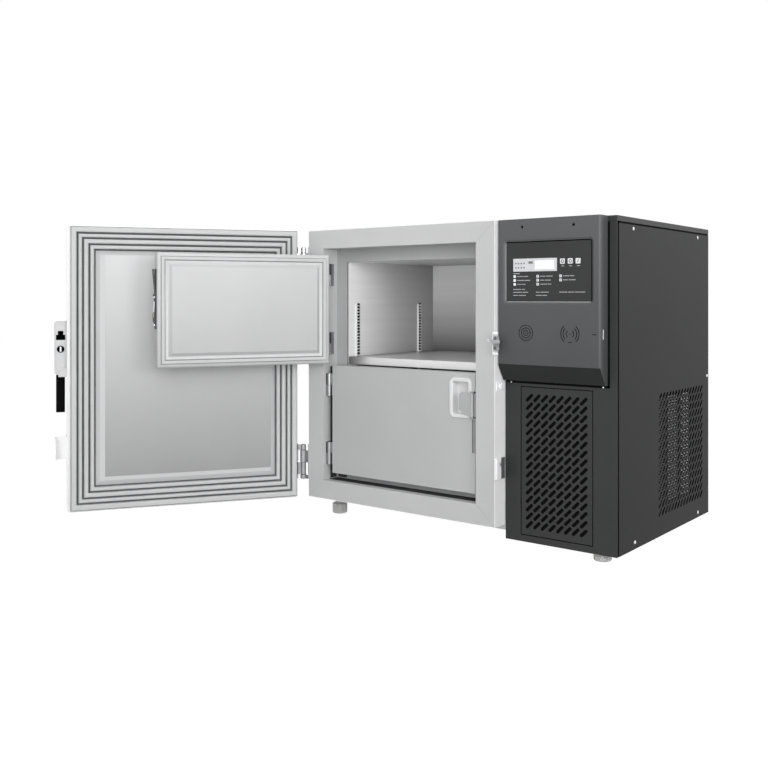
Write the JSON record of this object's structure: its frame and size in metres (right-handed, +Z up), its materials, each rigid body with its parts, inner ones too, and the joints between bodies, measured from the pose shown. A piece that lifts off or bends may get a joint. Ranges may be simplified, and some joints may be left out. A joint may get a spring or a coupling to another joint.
{
  "type": "ultra low temperature freezer",
  "caption": "Bench ultra low temperature freezer: insulated cabinet with a ribbed-seal outer door, inner doors on a shelf, and a side machine housing with a control bezel.",
  "frame": {"origin": "middle of the closed cabinet's footprint (cabinet and machine housing together) on the floor", "axes": "+X to the right seen from the front, +Y from the doors to the back, +Z up"},
  "size_m": [1.2013, 1.0715, 0.707],
  "materials": {
    "white_paint": "satin powder coat",
    "grey_plastic": "fine matte",
    "grey_rubber": "soft matte",
    "stainless": "brushed",
    "foam": "rigid foam",
    "dark_paint": "fine texture",
    "dark_plastic": "satin",
    "key_plastic": "satin",
    "pale_plastic": "satin",
    "lens": "gloss",
    "chrome": "bright plated",
    "black_grip": "satin",
    "copper": "drawn tube",
    "black_steel": "enamel",
    "fins": "mill"
  },
  "bodies": {
    "cabinet": {"cabinet_shell": "white_paint", "front_frame": "grey_plastic", "inner_flange": "grey_plastic", "inner_liner": "stainless", "insulation_panels": "foam", "shelf_supports": "stainless", "shelf": "stainless", "base_frame": "dark_paint", "feet": "pale_plastic", "hinge_brackets": "chrome", "inner_hinge_brackets": "chrome", "hinge_pins": "stainless", "latch_keeper": "chrome", "cabinet_hasp": "white_paint", "pressure_port": "white_paint", "machine_base": "dark_paint", "front_panel": "dark_paint", "side_panel": "dark_paint", "vent_posts": "stainless", "top_cover": "dark_paint", "rear_panel": "dark_paint", "power_inlet": "dark_plastic", "control_bezel": "dark_plastic", "display_panel": "dark_plastic", "lcd_window": "lens", "status_lamps": "lens", "usb_port": "pale_plastic", "panel_screws": "stainless", "condenser": "fins", "fan_shroud": "stainless", "fan_motor": "black_steel", "compressor": "black_steel", "refrigerant_circuit": "copper", "control_box": "fins"},
    "outer_door": {"door_skin": "white_paint", "door_core": "foam", "door_liner": "grey_plastic", "door_gasket": "grey_rubber", "door_hinge_leaves": "chrome", "handle_housing": "pale_plastic", "door_hasp": "white_paint"},
    "latch_handle": {"latch_handle": "black_grip"},
    "lock": {"lock_cylinder": "chrome"},
    "upper_door": {"upper_inner_door": "grey_plastic", "upper_inner_gasket": "grey_rubber", "upper_inner_fittings": "stainless", "upper_inner_cup": "pale_plastic"},
    "upper_latch": {"upper_latch_paddle": "pale_plastic"},
    "lower_door": {"lower_inner_door": "grey_plastic", "lower_inner_gasket": "grey_rubber", "lower_inner_fittings": "stainless", "lower_inner_cup": "pale_plastic"},
    "lower_latch": {"lower_latch_paddle": "pale_plastic"},
    "key_left": {"key_left": "key_plastic"},
    "key_middle": {"key_middle": "key_plastic"},
    "key_right": {"key_right": "key_plastic"},
    "grille": {"front_grille": "dark_paint", "air_filter": "dark_plastic"},
    "fan": {"condenser_fan": "dark_plastic"}
  },
  "joints": [
    {"name": "outer_door_hinge", "type": "hinge", "parent": "cabinet", "child": "outer_door", "pos_m": [-0.4095, -0.286, 0.376], "axis": [0, 0, -1], "range_deg": [-123, 0]},
    {"name": "upper_door_hinge", "type": "hinge", "parent": "cabinet", "child": "upper_door", "pos_m": [-0.3385, -0.27, 0.51], "axis": [0, 0, -1], "range_deg": [-119, 0]},
    {"name": "lower_door_hinge", "type": "hinge", "parent": "cabinet", "child": "lower_door", "pos_m": [-0.3385, -0.27, 0.243], "axis": [0, 0, -1], "range_deg": [0, 119]},
    {"name": "latch_handle_pivot", "type": "hinge", "parent": "outer_door", "child": "latch_handle", "pos_m": [-0.7837, -0.72085, 0.374], "axis": [0.5446, 0.8387, 0], "range_deg": [0, 60]},
    {"name": "lock_turn", "type": "hinge", "parent": "outer_door", "child": "lock", "pos_m": [-0.76609, -0.73228, 0.42], "axis": [-0.8387, 0.5446, 0], "range_deg": [0, 90]},
    {"name": "upper_latch_pivot", "type": "hinge", "parent": "upper_door", "child": "upper_latch", "pos_m": [-0.54519, -0.6305, 0.573], "axis": [0, 0, 1], "range_deg": [0, 30]},
    {"name": "lower_latch_pivot", "type": "hinge", "parent": "lower_door", "child": "lower_latch", "pos_m": [0.077, -0.276, 0.306], "axis": [0, 0, 1], "range_deg": [0, 30]},
    {"name": "key_left_press", "type": "slide", "parent": "cabinet", "child": "key_left", "axis": [0, 1, 0], "range_m": [0, 0.001], "stiffness_N_per_m": 600},
    {"name": "key_middle_press", "type": "slide", "parent": "cabinet", "child": "key_middle", "axis": [0, 1, 0], "range_m": [0, 0.001], "stiffness_N_per_m": 600},
    {"name": "key_right_press", "type": "slide", "parent": "cabinet", "child": "key_right", "axis": [0, 1, 0], "range_m": [0, 0.001], "stiffness_N_per_m": 600},
    {"name": "grille_pull", "type": "slide", "parent": "cabinet", "child": "grille", "axis": [0, -1, 0], "range_m": [0, 0.06]},
    {"name": "fan_spin", "type": "hinge", "parent": "cabinet", "child": "fan", "pos_m": [0.268, -0.154, 0.198], "axis": [0, 1, 0], "continuous": true}
  ],
  "couplings": [
    {"joint": "upper_door_hinge", "follows": "outer_door_hinge", "ratio": 0.96748}
  ]
}
